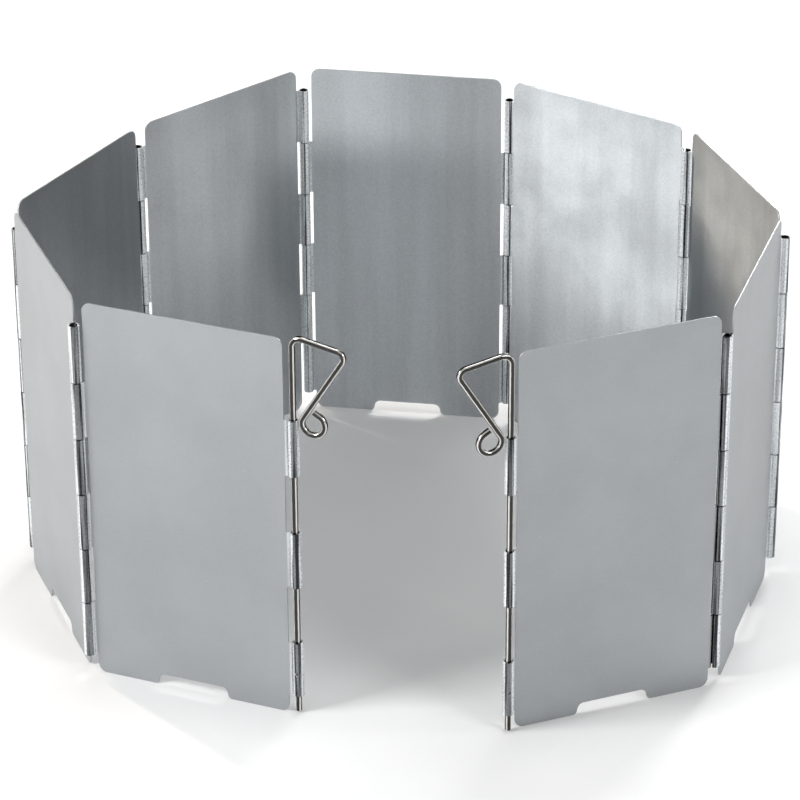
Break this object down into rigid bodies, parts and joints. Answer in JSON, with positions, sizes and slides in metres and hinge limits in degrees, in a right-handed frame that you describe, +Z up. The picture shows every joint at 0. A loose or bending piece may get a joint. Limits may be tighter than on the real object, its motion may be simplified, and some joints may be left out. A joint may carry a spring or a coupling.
{
  "type": "stove windscreen",
  "caption": "Folding camp stove windscreen: upright sheet plates with rolled knuckles on wire hinge pins, an air inlet at each foot, and a wire ground stake in each free edge.",
  "frame": {"origin": "middle of the standing outline seen from above, at the level of the plates' feet", "axes": "+Z up, +X along the back plate, +Y from the open front towards the back plate"},
  "size_m": [0.2524, 0.2168, 0.1362],
  "materials": {
    "plate_sheet": "mill finish, fine rolled grain",
    "wire": "drawn stainless wire, bright"
  },
  "bodies": {
    "leaf_1": {"plate_1": "plate_sheet"},
    "leaf_2": {"plate_2": "plate_sheet", "pin_12": "wire", "pin_23": "wire"},
    "leaf_3": {"plate_3": "plate_sheet"},
    "leaf_4": {"plate_4": "plate_sheet", "pin_34": "wire", "pin_45": "wire"},
    "leaf_5": {"plate_5": "plate_sheet"},
    "leaf_6": {"plate_6": "plate_sheet", "pin_56": "wire", "pin_67": "wire"},
    "leaf_7": {"plate_7": "plate_sheet"},
    "leaf_8": {"plate_8": "plate_sheet", "pin_78": "wire", "pin_89": "wire"},
    "leaf_9": {"plate_9": "plate_sheet"},
    "stake_left": {"stake_left": "wire"},
    "stake_right": {"stake_right": "wire"}
  },
  "joints": [
    {"name": "fold_12", "type": "hinge", "parent": "leaf_2", "child": "leaf_1", "pos_m": [-0.09008, -0.08374, 0.0675], "axis": [0, 0, 1], "range_deg": [-227.8, 17.65]},
    {"name": "fold_23", "type": "hinge", "parent": "leaf_3", "child": "leaf_2", "pos_m": [-0.1244, -0.01928, 0.0675], "axis": [0, 0, 1], "range_deg": [-9.96, 128.5]},
    {"name": "fold_34", "type": "hinge", "parent": "leaf_4", "child": "leaf_3", "pos_m": [-0.09903, 0.0492, 0.0675], "axis": [0, 0, 1], "range_deg": [-197.2, 15.28]},
    {"name": "fold_45", "type": "hinge", "parent": "leaf_5", "child": "leaf_4", "pos_m": [-0.05144, 0.10459, 0.0675], "axis": [0, 0, 1], "range_deg": [-10, 129.1]},
    {"name": "fold_56", "type": "hinge", "parent": "leaf_5", "child": "leaf_6", "pos_m": [0.02156, 0.10659, 0.0675], "axis": [0, 0, -1], "range_deg": [-205.1, 15.89]},
    {"name": "fold_67", "type": "hinge", "parent": "leaf_6", "child": "leaf_7", "pos_m": [0.08682, 0.07382, 0.0675], "axis": [0, 0, -1], "range_deg": [-11.19, 144.5]},
    {"name": "fold_78", "type": "hinge", "parent": "leaf_7", "child": "leaf_8", "pos_m": [0.1244, 0.0112, 0.0675], "axis": [0, 0, -1], "range_deg": [-218, 16.89]},
    {"name": "fold_89", "type": "hinge", "parent": "leaf_8", "child": "leaf_9", "pos_m": [0.11151, -0.06068, 0.0675], "axis": [0, 0, -1], "range_deg": [-9.96, 128.6]},
    {"name": "stake_left_slide", "type": "slide", "parent": "leaf_1", "child": "stake_left", "axis": [0, 0, 1], "range_m": [-0.025, 0.012]},
    {"name": "stake_right_slide", "type": "slide", "parent": "leaf_9", "child": "stake_right", "axis": [0, 0, 1], "range_m": [-0.025, 0.012]}
  ],
  "couplings": [
    {"joint": "fold_12", "follows": "fold_45", "ratio": -1.7645},
    {"joint": "fold_23", "follows": "fold_45", "ratio": 0.99535},
    {"joint": "fold_34", "follows": "fold_45", "ratio": -1.5275},
    {"joint": "fold_56", "follows": "fold_45", "ratio": -1.5887},
    {"joint": "fold_67", "follows": "fold_45", "ratio": 1.1193},
    {"joint": "fold_78", "follows": "fold_45", "ratio": -1.6886},
    {"joint": "fold_89", "follows": "fold_45", "ratio": 0.99613}
  ]
}
